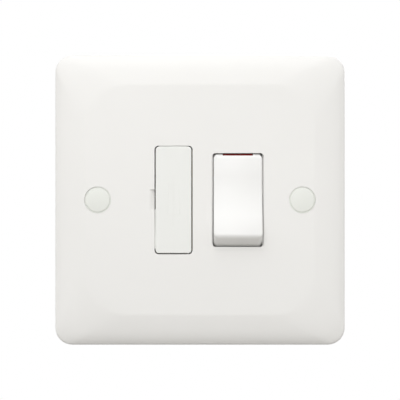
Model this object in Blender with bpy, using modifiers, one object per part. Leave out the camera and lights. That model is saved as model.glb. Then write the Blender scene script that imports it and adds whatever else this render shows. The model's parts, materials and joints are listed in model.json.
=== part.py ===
# Switched fused connection unit for a single wall box.
# Metres, X right, Z up, the front faces -Y. The origin is the plate's centre on the wall plane.
import math

import bmesh
import bpy
from mathutils import Matrix, Vector

# Fits between neighbouring pieces
seat_gap = 0.0003
braze_gap = 0.0002
sliding_gap = 0.0003

# How far an added shape reaches into its piece, and a cutter past its surface
embed = 0.0010
overcut = 0.0010
face_offset = 0.0001
flat_angle = math.radians(0.5)

# Faceplate: its width follows from the housing, the bosses and the margin outside them
plate_depth = 0.0090
plate_corner = 0.0050
plate_wall = 0.0024
rim_wall = 0.0022
rim_step_width = 0.0016
rim_step_height = 0.0010
crown_width = 0.0086
crown_inner_slope = math.radians(9)
crown_outer_slope = math.radians(36)
crown_growth = 3
crown_steps = 8
crown_blend = 0.0010
edge_round = 0.0004
edge_steps = 5
flat_corner = 0.0120
fixing_margin = 0.01285
boss_wall = 0.00145
boss_clearance = 0.00285
post_margin = 0.0002
rib_wall = 0.0012
rib_stand = 0.0025
rib_spread = 0.0032
rim_rib_x = 0.0120
rim_rib_gap = 0.0015

# Fuse carrier, its aperture and its lever notch
window_bridge = 0.00571
carrier_end_room = 0.0033
carrier_corner = 0.0012
carrier_front = 0.0021
carrier_gap = 0.0003
carrier_soft_edge = 0.00025
collar_wall = 0.0012
collar_depth = 0.0036
notch_width = 0.0015
notch_height = 0.0062
notch_depth = 0.0012
cradle_wall = 0.0011
cradle_web = 0.0012
cradle_end_gap = 0.0012
stop_wall = 0.0012
stop_half_width = 0.0040
stop_depth = 0.0020

# Cartridge fuse
fuse_length = 0.0254
fuse_cap_radius = 0.003175
fuse_cap_length = 0.0060
fuse_cap_wall = 0.00035
fuse_cap_edge = 0.0003
fuse_front_room = 0.000525

# Rocker switch
rocker_opening = (0.0153, 0.0276)
rocker_corner = 0.0011
rocker_side_gap = 0.0005
rocker_end_gap = 0.0006
pivot_sink = 0.0060
half_throw = math.radians(9)
end_half_angle = math.radians(55.85)
dish_radius = 0.0375
rocker_wall = 0.0015
rocker_edge = 0.0008
rocker_side_edge = 0.0004
skirt_back = 0.0008
lip_depth = 0.0010
relief_gap = 0.0004
trunnion_radius = 0.0015
trunnion_length = 0.00135
lug_radius = 0.0026
flash_width = 0.0086
flash_depth = 0.0009
flash_setback = 0.0005
flash_length = 0.0042
flash_sink = 0.00005

# Sprung plungers in the rocker's legs
leg_radius = 0.0023
leg_side_room = 0.00125
leg_reach = 0.0076
bore_radius = 0.00155
plunger_radius = 0.00125
plunger_reach = 0.0100
plunger_length = 0.0065
spring_wire = 0.0004
spring_clearance = 0.0002
spring_turns = 6
spring_turn_points = 8

# See-saw contacts
blade_side_room = 0.0008
blade_thickness = 0.0010
blade_front = 0.0022
blade_tail = 0.0075
blade_soft_edge = 0.0002
contact_margin = 0.0015
saddle_radius = 0.00145
saddle_half = 0.0026
post_radius = 0.00115
post_foot = 0.0022
plunger_clearance = 0.0005
tip_radius = 0.0012
tip_height = 0.0007
closed_clearance = 0.00025

# Strip metal
strip = 0.0007
strip_width = 0.0040
strip_step = 0.0002
bend = 0.0008
pad_offset = 0.0008
pad_margin = 0.0019
link_riser = 0.0010
link_foot = 0.0018
clip_width = 0.0050
clip_side_room = 0.000825
jaw_gap = 0.0003
jaw_flare = 0.0006
jaw_reach = 0.0024
jaw_lead = 0.0009

# Rear housing
housing_depth = 0.0200
housing_wall = 0.0020
housing_corner = 0.0020
cheek_gap = 0.00035
cheek_wall = 0.0016
bearing_wall = 0.00124
bearing_depth = 0.0050
bearing_half_height = 0.0060
partition_wall = 0.0012
partition_front = 0.0010
pocket_rise = 0.0015
seat_width = 0.0040
seat_half = 0.0015
slot_gap = 0.0004
ear_height = 0.0140
ear_radius = 0.0032
ear_sink = 0.0046
ear_thickness = 0.0025
housing_soft_edge = 0.0005
panel_margin = 0.0050
panel_corner = 0.0015
panel_sink = 0.0005
way_rim_wall = 0.0011
way_rim_height = 0.0007
wire_fin_half = 0.0006
wire_fin_stand = 0.0012
wire_fin_length = 0.0095

# Terminals
terminal_room = 0.0045
terminal_gap = 0.0026
terminal_shift = 0.0009
block_size = (0.0074, 0.0090, 0.0095)
block_soft_edge = 0.0003
port_size = (0.0048, 0.0054)
port_floor = 0.0014
port_end = 0.0014
wire_way_gap = 0.0002
driver_way_gap = 0.0005
terminal_screw_radius = 0.0020
terminal_screw_stand = 0.0018
terminal_slot_half = 0.0003
terminal_slot_depth = 0.0009
tab_front = 0.0017

# Screws and caps
screw_chamfer = 0.0004
thread_gap = 0.0002
screw_hole_gap = 0.0003
fixing_shank_radius = 0.00175
fixing_hole_gap = 0.0004
fixing_head_radius = 0.0033
fixing_head_height = 0.0021
fixing_head_slope = (0.0007, 0.0006)
fixing_slot_half = 0.0004
fixing_slot_depth = 0.0011
fixing_length = 0.0250
recess_radius = 0.00395
cap_gap = 0.000225
cap_thickness = 0.0012
cap_dome = 0.0002
cap_skirt = 0.0007
cap_wall = 0.0009
cap_edge = 0.0003
head_room = 0.0005
housing_screw_radius = 0.0013
housing_screw_length = 0.0072
housing_screw_point = 0.0010
housing_head_radius = 0.0024
housing_head_height = 0.0017
cross_half = 0.0003
cross_reach = 0.0014
cross_depth = 0.0009

# Depths that follow from the sizes above
front_y = -plate_depth
ceiling_y = front_y + plate_wall
floor_y = housing_depth - housing_wall
ear_front = ceiling_y + ear_sink
pivot_y = front_y + pivot_sink
fuse_y = front_y + carrier_front + fuse_front_room + fuse_cap_radius
seat_y = front_y + cap_thickness + cap_skirt + head_room + fixing_head_height + seat_gap
block_back_y = floor_y - seat_gap
block_front_y = block_back_y - block_size[1]
port_y = block_front_y + port_floor + port_size[1] / 2
strip_y = floor_y - seat_gap - strip / 2

# Across: the terminals set the housing's width, the housing the rocker's and the screws' places
rocker_half_width = rocker_opening[0] / 2 - rocker_side_gap
trunnion_reach = rocker_half_width + trunnion_length
pole_offset = rocker_half_width - leg_radius - leg_side_room
blade_width = 2 * (pole_offset - partition_wall / 2 - blade_side_room)
pole_strip_width = blade_width - 2 * strip_step
terminal_pitch = block_size[0] + terminal_gap
terminal_x = [terminal_shift + terminal_pitch * (1.5 - i) for i in range(4)]
housing_half_width = terminal_x[0] + block_size[0] / 2 + seat_gap + housing_wall
rocker_x = housing_half_width - housing_wall - bearing_wall - cheek_gap - rocker_half_width
pole_x = {"line": rocker_x - pole_offset, "neutral": rocker_x + pole_offset}
post_x = housing_half_width + seat_gap + ear_radius
boss_radius = recess_radius + boss_wall
fixing_x = housing_half_width + boss_clearance + boss_radius
plate_size = 2 * (fixing_x + fixing_margin)

# Along the height: the fuse sets the carrier's, the contacts' and the terminals' places
fuse_half = fuse_length / 2
clip_z = fuse_half - fuse_cap_length / 2
contact_reach = clip_z + pad_offset
block_inner_z = fuse_half + terminal_room
housing_half_height = block_inner_z + block_size[2] + seat_gap + housing_wall
tab_z = block_inner_z - seat_gap - strip / 2
carrier_opening = (
    2 * (fuse_cap_radius + jaw_gap + strip + jaw_flare + clip_side_room),
    fuse_length + 2 * carrier_end_room,
)
carrier_half_width = carrier_opening[0] / 2 - carrier_gap
carrier_half_height = carrier_opening[1] / 2 - carrier_gap
carrier_x = rocker_x - rocker_opening[0] / 2 - window_bridge - carrier_opening[0] / 2
tube_radius = fuse_cap_radius - fuse_cap_wall - braze_gap
rocker_end_radius = math.hypot(rocker_opening[1] / 2 - rocker_end_gap, pivot_sink)

# The see-saws stand clear of the plungers at mid throw, and their tips meet the fixed ones at each end
blade_y = pivot_y + plunger_reach * math.cos(half_throw) + (
    plunger_radius + plunger_clearance + blade_front
    - plunger_reach * math.sin(half_throw) ** 2
) / math.cos(half_throw)
closed_tip_y = (
    blade_y
    - (blade_front - blade_thickness - braze_gap - tip_height) * math.cos(half_throw)
    + contact_reach * math.sin(half_throw)
)
fixed_tip_y = closed_tip_y + closed_clearance
pad_y = fixed_tip_y + tip_height + braze_gap + strip / 2
clip_base_y = fuse_y + fuse_cap_radius + jaw_gap + strip / 2

# Sides and rows that repeat
columns = (("left", -1), ("right", 1))
rows = (("upper", 1), ("lower", -1))

# Directions in which an outline is extruded: its own x, y and z in world axes
seen_from_front = Matrix(((1, 0, 0), (0, 0, -1), (0, 1, 0))).to_4x4()
seen_from_side = Matrix(((0, 0, 1), (1, 0, 0), (0, 1, 0))).to_4x4()
seen_from_top = Matrix.Identity(4)
along = {
    "X": Matrix.Rotation(math.radians(90), 4, "Y"),
    "Y": Matrix.Rotation(math.radians(-90), 4, "X"),
    "Z": Matrix.Identity(4),
}


def clear_scene():
    for obj in list(bpy.data.objects):
        bpy.data.objects.remove(obj)


def make_collection(name):
    collection = bpy.data.collections.new(name)
    bpy.context.scene.collection.children.link(collection)
    return collection


clear_scene()
unit_parts = make_collection("switched_fused_connection_unit")
tool_shapes = make_collection("cutters_and_additions")


def make_material(name, color, roughness, metallic=0.0):
    material = bpy.data.materials.new(name)
    material.use_nodes = True
    shader = material.node_tree.nodes["Principled BSDF"]
    shader.inputs["Base Color"].default_value = (*color, 1.0)
    shader.inputs["Roughness"].default_value = roughness
    shader.inputs["Metallic"].default_value = metallic
    return material


white_moulding = make_material("white_moulding", (0.84, 0.84, 0.82), 0.35)
rocker_white = make_material("rocker_white", (0.90, 0.90, 0.89), 0.25)
cap_white = make_material("cap_white", (0.80, 0.81, 0.78), 0.40)
flash_red = make_material("flash_red", (0.55, 0.03, 0.02), 0.35)
housing_white = make_material("housing_white", (0.76, 0.76, 0.73), 0.50)
brass = make_material("brass", (0.78, 0.58, 0.27), 0.30, 1.0)
plated_steel = make_material("plated_steel", (0.68, 0.68, 0.66), 0.35, 1.0)
nickel = make_material("nickel", (0.74, 0.72, 0.68), 0.25, 1.0)
ceramic = make_material("ceramic", (0.86, 0.84, 0.78), 0.60)
silver = make_material("silver", (0.88, 0.88, 0.86), 0.25, 1.0)


def new_object(name, bm):
    """Turn a bmesh into an object among the tool shapes."""
    bmesh.ops.recalc_face_normals(bm, faces=bm.faces)
    mesh = bpy.data.meshes.new(name)
    bm.to_mesh(mesh)
    bm.free()
    obj = bpy.data.objects.new(name, mesh)
    tool_shapes.objects.link(obj)
    obj.hide_render = True
    obj.display_type = "WIRE"
    return obj


def box(name, x, y, z):
    """A block between (low, high) pairs."""
    size = [high - low for low, high in (x, y, z)]
    bm = bmesh.new()
    bmesh.ops.create_cube(bm, size=1.0, matrix=Matrix.Diagonal((*size, 1.0)))
    obj = new_object(name, bm)
    obj.location = [(low + high) / 2 for low, high in (x, y, z)]
    return obj


def rod(name, radius, centre, axis, low, high, segments=32):
    """A cylinder about an axis through centre, from low to high along it."""
    bm = bmesh.new()
    bmesh.ops.create_cone(
        bm, cap_ends=True, segments=segments, radius1=radius, radius2=radius, depth=high - low
    )
    obj = new_object(name, bm)
    place = Vector(centre)
    place["XYZ".index(axis)] = (low + high) / 2
    obj.matrix_world = Matrix.Translation(place) @ along[axis]
    obj.data.shade_smooth()
    obj.data.set_sharp_from_angle(angle=math.radians(35))
    return obj


def turned(name, profile, centre, axis, steps=32):
    """Turn (radius, height) points about an axis through centre, from the top down."""
    bm = bmesh.new()
    corners = [bm.verts.new((radius, 0.0, height)) for radius, height in profile]
    for first, second in zip(corners, corners[1:]):
        bm.edges.new((first, second))
    mesh = bpy.data.meshes.new(name)
    bm.to_mesh(mesh)
    bm.free()
    obj = bpy.data.objects.new(name, mesh)
    tool_shapes.objects.link(obj)
    obj.hide_render = True
    obj.display_type = "WIRE"
    obj.matrix_world = Matrix.Translation(centre) @ along[axis]
    screw = obj.modifiers.new("turn", "SCREW")
    screw.axis = "Z"
    screw.steps = steps
    screw.render_steps = steps
    screw.use_merge_vertices = True
    screw.merge_threshold = 0.00001
    screw.use_smooth_shade = True
    return obj


def arc(centre, radius, start, end, count):
    """Points on an arc, angles in degrees."""
    steps = [math.radians(start + (end - start) * i / count) for i in range(count + 1)]
    return [(centre[0] + radius * math.cos(a), centre[1] + radius * math.sin(a)) for a in steps]


def rounded_rectangle(half_width, half_height, radius, count=6):
    points = []
    for turn, (sx, sy) in enumerate(((1, 1), (-1, 1), (-1, -1), (1, -1))):
        centre = (sx * (half_width - radius), sy * (half_height - radius))
        points += arc(centre, radius, 90 * turn, 90 * turn + 90, count)
    return points


def ribbon(path, thickness, radius=bend):
    """Outline of bent strip metal about a path, with round bends."""
    smooth = [Vector(path[0])]
    for before, corner, after in zip(path, path[1:], path[2:]):
        corner = Vector(corner)
        inward = (Vector(before) - corner).normalized()
        outward = (Vector(after) - corner).normalized()
        half_angle = inward.angle(outward) / 2
        run = radius / math.tan(half_angle)
        centre = corner + (inward + outward).normalized() * (radius / math.sin(half_angle))
        start = corner + inward * run - centre
        turn = start.angle_signed(corner + outward * run - centre)
        smooth += [centre + Matrix.Rotation(-turn * i / 4, 2) @ start for i in range(5)]
    smooth.append(Vector(path[-1]))
    left = []
    right = []
    for i, point in enumerate(smooth):
        ways = []
        if i > 0:
            ways.append((point - smooth[i - 1]).normalized())
        if i < len(smooth) - 1:
            ways.append((smooth[i + 1] - point).normalized())
        along_path = sum(ways, Vector((0.0, 0.0))).normalized()
        across = Vector((-along_path.y, along_path.x))
        reach = thickness / 2 / max(0.5, along_path.dot(ways[0]))
        left.append(point + across * reach)
        right.append(point - across * reach)
    return left + right[::-1]


def outline(name, points, thickness, facing, centre=(0.0, 0.0, 0.0)):
    """Extrude a flat outline by half its thickness each way and make it a mesh."""
    curve = bpy.data.curves.new(name, "CURVE")
    curve.dimensions = "2D"
    curve.fill_mode = "BOTH"
    curve.extrude = thickness / 2
    spline = curve.splines.new("POLY")
    spline.points.add(len(points) - 1)
    for point, co in zip(spline.points, points):
        point.co = (co[0], co[1], 0.0, 1.0)
    spline.use_cyclic_u = True
    drawn = bpy.data.objects.new(name + "_outline", curve)
    tool_shapes.objects.link(drawn)
    drawn.matrix_world = Matrix.Translation(centre) @ facing
    return mesh_of(drawn, name)


def mesh_of(drawn, name):
    """Replace a curve object with its mesh, its caps welded."""
    bpy.context.view_layer.update()
    graph = bpy.context.evaluated_depsgraph_get()
    mesh = bpy.data.meshes.new_from_object(drawn.evaluated_get(graph))
    bm = bmesh.new()
    bm.from_mesh(mesh)
    bmesh.ops.remove_doubles(bm, verts=bm.verts, dist=0.000001)
    bpy.data.meshes.remove(mesh)
    obj = new_object(name, bm)
    obj.matrix_world = drawn.matrix_world
    bpy.data.objects.remove(drawn)
    return obj


def loft(name, rings):
    """Skin between rings of equal count, each a list of (x, y, z) points, closed at both ends."""
    bm = bmesh.new()
    loops = [[bm.verts.new(co) for co in ring] for ring in rings]
    count = len(rings[0])
    for lower, upper in zip(loops, loops[1:]):
        for i in range(count):
            j = (i + 1) % count
            bm.faces.new((lower[i], lower[j], upper[j], upper[i]))
    bm.faces.new(loops[0])
    bm.faces.new(loops[-1])
    return new_object(name, bm)


def combine(obj, operation, *tools):
    for tool in tools:
        change = obj.modifiers.new(tool.name, "BOOLEAN")
        change.operation = operation
        change.object = tool
    return obj


def add(obj, *tools):
    return combine(obj, "UNION", *tools)


def cut(obj, *tools):
    return combine(obj, "DIFFERENCE", *tools)


def merge_flats(obj):
    """Join the triangles of each flat face, so that a bevel runs evenly round it."""
    bm = bmesh.new()
    bm.from_mesh(obj.data)
    bmesh.ops.dissolve_limit(bm, angle_limit=flat_angle, verts=bm.verts, edges=bm.edges)
    bm.to_mesh(obj.data)
    bm.free()


def soften(obj, width, segments=2, angle=40):
    merge_flats(obj)
    bevel = obj.modifiers.new("soft_edges", "BEVEL")
    bevel.width = width
    bevel.segments = segments
    bevel.limit_method = "ANGLE"
    bevel.angle_limit = math.radians(angle)
    return obj


def make_part(obj, material, parent=None):
    """Move a finished shape from the tools to the unit's parts."""
    tool_shapes.objects.unlink(obj)
    unit_parts.objects.link(obj)
    obj.hide_render = False
    obj.display_type = "TEXTURED"
    obj.data.materials.clear()
    obj.data.materials.append(material)
    normals = obj.modifiers.new("weighted_normals", "WEIGHTED_NORMAL")
    normals.keep_sharp = True
    if parent is not None:
        tools = [change.object for change in obj.modifiers if change.type == "BOOLEAN"]
        for moved in [obj, *tools]:
            moved.parent = parent
    return obj


def square_ring(inset, y, corner, count=8):
    half = plate_size / 2 - inset
    return [(x, y, z) for x, z in rounded_rectangle(half, half, corner, count)]


# Faceplate: rings from the wall rim, round the outer edge and up the crown to the flat
def crown_drop(inset):
    """How far the crown lies behind the flat: its slope grows slowly, then fast near the edge."""
    run = crown_width - edge_round
    slices = 40
    step = (crown_width - inset) / slices
    drop = crown_blend / 2 * math.tan(crown_inner_slope)
    for i in range(slices):
        share = step * (i + 0.5) / run
        rise = math.sin(crown_outer_slope) - math.sin(crown_inner_slope)
        slope = math.asin(math.sin(crown_inner_slope) + rise * share ** crown_growth)
        drop += step * math.tan(slope)
    return drop


def crown_rings():
    """Inset, place and corner of each ring, closer together towards the outer edge."""
    rings = []
    for i in range(crown_steps + 1):
        share = 1 - ((crown_steps - i) / crown_steps) ** 0.6
        inset = edge_round + (crown_width - edge_round) * share
        corner = plate_corner + (flat_corner - plate_corner) * inset / crown_width
        rings.append((inset, front_y + crown_drop(inset), corner))
    return rings


def hollow_shoulder_y():
    """Where the hollow turns from the rim into the underside of the crown."""
    return front_y + crown_drop(rim_wall + rim_step_width) + plate_wall


def edge_rings(edge_y, edge_corner):
    """Quarter round from the side wall to the crown's outer slope."""
    rings = []
    fall = math.pi / 2 - crown_outer_slope
    radius = edge_round / (1 - math.cos(fall))
    for i in range(edge_steps):
        angle = fall * i / edge_steps
        inset = radius * (1 - math.cos(angle))
        y = edge_y + radius * (math.sin(fall) - math.sin(angle))
        corner = plate_corner + (edge_corner - plate_corner) * inset / edge_round
        rings.append((inset, y, corner))
    return rings


def faceplate_shell():
    crown = crown_rings()
    rings = [square_ring(0.0, 0.0, plate_corner)]
    rings += [square_ring(*ring) for ring in edge_rings(crown[0][1], crown[0][2]) + crown]
    rings.append(square_ring(crown_width + crown_blend, front_y, flat_corner))
    shell = loft("faceplate", rings)
    shoulder_y = hollow_shoulder_y()
    hollow = loft("faceplate_hollow", [
        square_ring(rim_wall, overcut, plate_corner - rim_wall / 2),
        square_ring(rim_wall, shoulder_y + rim_step_height, plate_corner - rim_wall / 2),
        square_ring(rim_wall + rim_step_width, shoulder_y, plate_corner),
        square_ring(crown_width + crown_blend, ceiling_y, flat_corner),
    ])
    return cut(shell, hollow)


def faceplate():
    plate = faceplate_shell()
    add(plate, carrier_collar())
    for column, side in columns:
        place = (side * fixing_x, 0, 0)
        add(
            plate,
            rod(f"fixing_boss_{column}", boss_radius, place, "Y", ceiling_y - embed, 0.0),
            bearing_pad(column, side),
        )
        for row, level in rows:
            rim_start = housing_half_height + rim_rib_gap
            add(
                plate,
                screw_post(f"{row}_{column}", (side * post_x, 0, level * ear_height)),
                back_rib(f"boss_rib_{row}_{column}", side, level * rib_spread, fixing_x, True),
                back_rib(f"rim_rib_{row}_{column}", level, side * rim_rib_x, rim_start, False),
            )
    cut(
        plate,
        window("carrier_aperture", carrier_x, carrier_opening, carrier_corner),
        window("rocker_aperture", rocker_x, rocker_opening, rocker_corner),
        box(
            "rocker_relief",
            (rocker_x - rocker_opening[0] / 2, rocker_x + rocker_opening[0] / 2),
            (front_y + lip_depth, ceiling_y + overcut),
            (-rocker_end_radius - relief_gap, rocker_end_radius + relief_gap),
        ),
        lever_notch(),
    )
    cut_screw_holes(plate)
    return make_part(plate, white_moulding)


def carrier_collar():
    """The wall that guides the carrier behind its aperture."""
    collar_front = ceiling_y - plate_wall / 2
    collar_back = ceiling_y + collar_depth
    half = [size / 2 + collar_wall for size in carrier_opening]
    return outline(
        "carrier_collar", rounded_rectangle(*half, carrier_corner * 2), collar_back - collar_front,
        seen_from_front, (carrier_x, (collar_front + collar_back) / 2, 0.0),
    )


def bearing_pad(column, side):
    """Holds a trunnion down in its notch."""
    inner = rocker_half_width + cheek_gap + seat_gap
    outer = trunnion_reach - seat_gap
    ends = sorted((rocker_x + side * inner, rocker_x + side * outer))
    depth = (ceiling_y - embed, pivot_y - trunnion_radius - seat_gap)
    return box(f"bearing_pad_{column}", ends, depth, (-trunnion_radius, trunnion_radius))


def screw_post(name, place):
    radius = ear_radius - post_margin
    return rod(f"screw_post_{name}", radius, place, "Y", ceiling_y - embed, ear_front - seat_gap)


def window(name, x, opening, corner):
    """A cutter through the front and what stands behind it."""
    points = rounded_rectangle(opening[0] / 2, opening[1] / 2, corner)
    return outline(name, points, 2 * (plate_depth + overcut), seen_from_front, (x, front_y, 0.0))


def cut_screw_holes(plate):
    """Recess and hole of each fixing screw, and the pilot holes of the housing screws."""
    pilot_tip = ear_front + ear_thickness - housing_screw_length
    for column, side in columns:
        place = (side * fixing_x, 0, 0)
        cut(
            plate,
            rod(f"cap_recess_{column}", recess_radius, place, "Y", front_y - overcut, seat_y),
            rod(f"fixing_hole_{column}", fixing_shank_radius + fixing_hole_gap, place, "Y", front_y, overcut),
        )
        for row, level in rows:
            place = (side * post_x, 0, level * ear_height)
            radius = housing_screw_radius + thread_gap
            cut(plate, rod(f"pilot_{row}_{column}", radius, place, "Y", pilot_tip, overcut, 20))


def back_rib(name, side, offset, start, across):
    """A thin rib on the back of the plate, under the crown, out to the rim."""
    half = plate_size / 2
    flat = half - crown_width - crown_blend
    rim = half - rim_wall
    edge = half - rim_wall / 2
    sunk = ceiling_y - plate_wall / 3
    shoulder = hollow_shoulder_y() - plate_wall / 3
    back = hollow_shoulder_y() + rib_stand
    turn = max(start, flat)
    turn_y = sunk + (shoulder - sunk) * (turn - flat) / (rim - flat)
    side_view = [
        (back, start), (turn_y, start), (turn_y, turn), (shoulder, rim), (shoulder, edge), (back, edge),
    ]
    if across:
        points = [(side * reach, y) for y, reach in side_view]
        return outline(name, points, rib_wall, seen_from_top, (0.0, 0.0, offset))
    points = [(y, side * reach) for y, reach in side_view]
    return outline(name, points, rib_wall, seen_from_side, (offset, 0.0, 0.0))


def lever_notch():
    """A wedge beside the carrier, deepest at the carrier's edge."""
    edge_x = carrier_x - carrier_opening[0] / 2
    wedge = [
        (edge_x - notch_width, front_y),
        (edge_x - notch_width, front_y - overcut),
        (edge_x + overcut, front_y - overcut),
        (edge_x + overcut, front_y + notch_depth),
        (edge_x, front_y + notch_depth),
    ]
    return outline("lever_notch", wedge, notch_height, seen_from_top)


# Rear housing: an open box with bearing cheeks, a wall between the poles and terminal pockets
def rear_housing():
    front = ceiling_y + seat_gap
    inner_half_width = housing_half_width - housing_wall
    inner_half_height = housing_half_height - housing_wall
    housing = outline(
        "rear_housing",
        rounded_rectangle(housing_half_width, housing_half_height, housing_corner, 4),
        housing_depth - front, seen_from_front, (0.0, (housing_depth + front) / 2, 0.0),
    )
    soften(housing, housing_soft_edge, 1)
    cut(housing, box(
        "housing_cavity", (-inner_half_width, inner_half_width), (front - overcut, floor_y),
        (-inner_half_height, inner_half_height),
    ))
    inside = floor_y + housing_wall / 2
    add_cheeks(housing, front, inside)
    add(housing, box(
        "pole_partition", (rocker_x - partition_wall / 2, rocker_x + partition_wall / 2),
        (partition_front, inside), (-block_inner_z, block_inner_z),
    ))
    add_pockets(housing, inside)
    add_seats(housing, inside)
    add_ears(housing)
    add_back_relief(housing)
    cut_terminal_ways(housing)
    return make_part(housing, housing_white)


def add_cheeks(housing, front, inside):
    """The walls that carry the rocker's trunnions, with half-round notches."""
    inner = rocker_half_width + cheek_gap
    cheek = (rocker_x - inner - cheek_wall, rocker_x - inner)
    bearing = (rocker_x + inner, housing_half_width - housing_wall / 2)
    bearing_height = (-bearing_half_height, bearing_half_height)
    add(
        housing,
        box("left_cheek", cheek, (front, inside), (-block_inner_z, block_inner_z)),
        box("right_cheek", bearing, (front, pivot_y + bearing_depth), bearing_height),
    )
    notches = {
        "left": (cheek[0] - overcut, cheek[1] + overcut),
        "right": (bearing[0] - overcut, rocker_x + trunnion_reach + seat_gap),
    }
    radius = trunnion_radius + seat_gap
    for column, ends in notches.items():
        cut(
            housing,
            rod(f"trunnion_notch_{column}", radius, (0, pivot_y, 0), "X", *ends),
            box(f"trunnion_way_{column}", ends, (front - overcut, pivot_y), (-radius, radius)),
        )
    slot_half = clip_width / 2 + slot_gap
    cut(housing, box(
        "contact_slot", (cheek[0] - overcut, cheek[1] + overcut),
        (front - overcut, pad_y + strip / 2 + seat_gap), (clip_z - slot_half, clip_z + slot_half),
    ))


def add_pockets(housing, inside):
    """Ribs between the terminals, and one beside the last of the upper row."""
    depth = (block_front_y - pocket_rise, inside)
    reach = (block_inner_z - seat_gap, housing_half_height - housing_wall / 2)
    half = terminal_gap / 2 - seat_gap
    for row, level in rows:
        ends = sorted(level * z for z in reach)
        for i, x in enumerate(terminal_x[:3]):
            middle = x - terminal_pitch / 2
            add(housing, box(f"pocket_rib_{row}_{i}", (middle - half, middle + half), depth, ends))
    last = (-housing_half_width + housing_wall / 2, terminal_x[3] - block_size[0] / 2 - seat_gap)
    add(housing, box("pocket_rib_last", last, depth, reach))


def add_seats(housing, inside):
    """Pillars under the fixed contacts and the fuse clips."""
    for name, x in pole_x.items():
        add(housing, box(
            f"contact_seat_{name}", (x - pole_strip_width / 2, x + pole_strip_width / 2),
            (pad_y + strip / 2 + seat_gap, inside), (contact_reach - seat_half, contact_reach + seat_half),
        ))
    left = carrier_x - fuse_cap_radius
    for row, level in rows:
        add(housing, box(
            f"clip_seat_{row}", (left, left + seat_width), (clip_base_y + strip / 2 + seat_gap, inside),
            (level * clip_z - seat_half, level * clip_z + seat_half),
        ))


def add_ears(housing):
    """Ears for the housing screws, on the outside of both long walls."""
    depth = (ear_front, ear_front + ear_thickness)
    for column, side in columns:
        reach = sorted((side * (housing_half_width - housing_wall / 2), side * post_x))
        for row, level in rows:
            z = level * ear_height
            place = (side * post_x, 0, z)
            add(
                housing,
                box(f"ear_{row}_{column}", reach, depth, (z - ear_radius, z + ear_radius)),
                rod(f"ear_end_{row}_{column}", ear_radius, place, "Y", *depth),
            )
            cut(housing, rod(
                f"ear_hole_{row}_{column}", housing_screw_radius + screw_hole_gap, place, "Y",
                depth[0] - overcut, depth[1] + overcut, 20,
            ))


def add_back_relief(housing):
    """Outside: a sunk panel, a rim round each screw way and fins that part the wires."""
    half = (housing_half_width - panel_margin, block_inner_z - panel_margin)
    cut(housing, outline(
        "back_panel", rounded_rectangle(*half, panel_corner, 3), 2 * panel_sink,
        seen_from_front, (0.0, housing_depth, 0.0),
    ))
    way_radius = terminal_screw_radius + driver_way_gap + way_rim_wall
    way_depth = (housing_depth - embed, housing_depth + way_rim_height)
    for name, x, level in terminals():
        place = (x, 0, level * (block_inner_z + block_size[2] / 2))
        add(housing, rod(f"way_rim_{name}", way_radius, place, "Y", *way_depth, 24))
    depth = (port_y - port_size[1] / 2, housing_depth + wire_fin_stand)
    reach = (housing_half_height - wire_fin_length, housing_half_height + wire_fin_stand)
    for row, level in rows:
        ends = sorted(level * z for z in reach)
        for i, x in enumerate(terminal_x[:3]):
            middle = x - terminal_pitch / 2
            fin = (middle - wire_fin_half, middle + wire_fin_half)
            add(housing, box(f"wire_fin_{row}_{i}", fin, depth, ends))


def cut_terminal_ways(housing):
    """Wire slots in the ends and screwdriver holes in the back."""
    half = [size / 2 + wire_way_gap for size in port_size]
    for name, x, level in terminals():
        inner = housing_half_height - housing_wall - overcut
        ends = sorted((level * inner, level * (housing_half_height + overcut)))
        screw_z = level * (block_inner_z + block_size[2] / 2)
        cut(
            housing,
            box(f"wire_way_{name}", (x - half[0], x + half[0]), (port_y - half[1], port_y + half[1]), ends),
            rod(
                f"screw_way_{name}", terminal_screw_radius + driver_way_gap, (x, 0, screw_z), "Y",
                floor_y - overcut, housing_depth + way_rim_height + overcut, 24,
            ),
        )


def terminals():
    """Name, place across and level of each terminal: supply below, load above."""
    return [
        ("neutral_in", terminal_x[0], -1),
        ("line_in", terminal_x[1], -1),
        ("earth_in", terminal_x[2], -1),
        ("neutral_out", terminal_x[0], 1),
        ("earth_out", terminal_x[2], 1),
        ("line_out", terminal_x[3], 1),
    ]


# Rocker, modelled level about its pivot and then tilted to off
def rocker_profile():
    """Half-throw flats blended by a wide dish, with ends round the pivot."""
    edge_y = rocker_end_radius * math.cos(end_half_angle)
    edge_z = rocker_end_radius * math.sin(end_half_angle)
    blend_z = dish_radius * math.sin(half_throw)
    blend_fall = dish_radius * (1 - math.cos(half_throw))
    centre_y = -edge_y + blend_fall + (edge_z - blend_z) * math.tan(half_throw)
    dish = []
    for i in range(-6, 7):
        tilt = half_throw * i / 6
        fall = dish_radius * (1 - math.cos(tilt))
        dish.append((centre_y - fall, dish_radius * math.sin(tilt)))
    back_angle = math.degrees(math.acos(skirt_back / rocker_end_radius))
    front_angle = math.degrees(end_half_angle)
    top = [(-y, z) for y, z in arc((0, 0), rocker_end_radius, front_angle, back_angle, 6)]
    bottom = [(y, -z) for y, z in reversed(top)]
    return dish + top + bottom, centre_y


bore_front = rocker_profile()[1] + rocker_wall
spring_back = plunger_reach - plunger_length


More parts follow.
